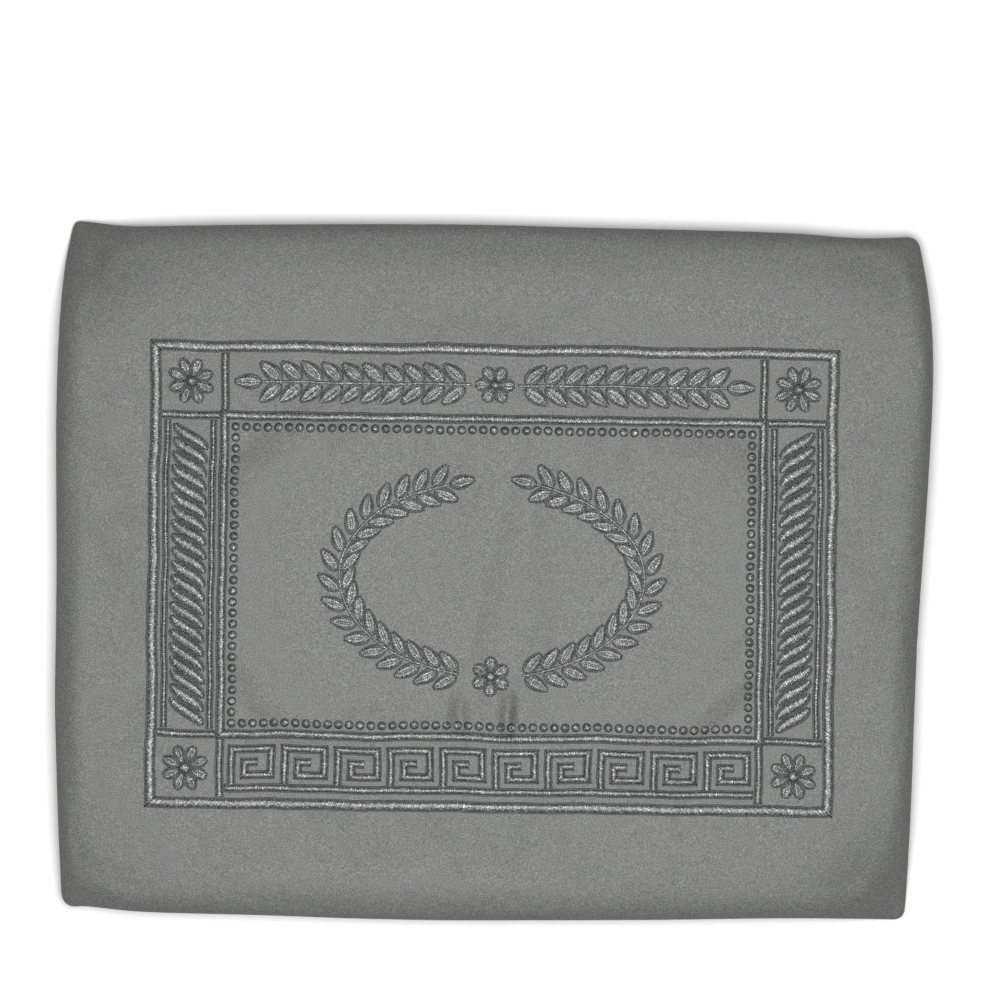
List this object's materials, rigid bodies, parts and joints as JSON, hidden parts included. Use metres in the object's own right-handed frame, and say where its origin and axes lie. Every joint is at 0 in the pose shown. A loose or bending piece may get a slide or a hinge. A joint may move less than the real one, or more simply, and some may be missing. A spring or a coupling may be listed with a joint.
{
  "type": "tallit bag",
  "caption": "Flat rectangular padded satin pouch with a zipped back and a raised stitched frame on its face.",
  "frame": {"origin": "bottom centre of its box: the plane that it lies on, under the middle of its outline", "axes": "+X along its width, to the right as the face is read; +Y up its face, towards its top edge; +Z through its thickness, out of its face"},
  "size_m": [0.36, 0.286, 0.0289],
  "materials": {
    "bag_satin": "satin weave with a fine sparkle",
    "zip": "woven tape and nylon coil",
    "silver_thread": "metallic embroidery thread",
    "dark_thread": "dark embroidery thread"
  },
  "bodies": {
    "root": {"front_panel": "bag_satin", "back_panel": "bag_satin", "back_zip": "zip", "embroidery_outer_rail": "silver_thread", "embroidery_inner_rail": "silver_thread", "embroidery_rosette_lower_left": "silver_thread", "embroidery_rosette_lower_right": "silver_thread", "embroidery_rosette_upper_right": "silver_thread", "embroidery_rosette_upper_left": "silver_thread"}
  },
  "joints": []
}
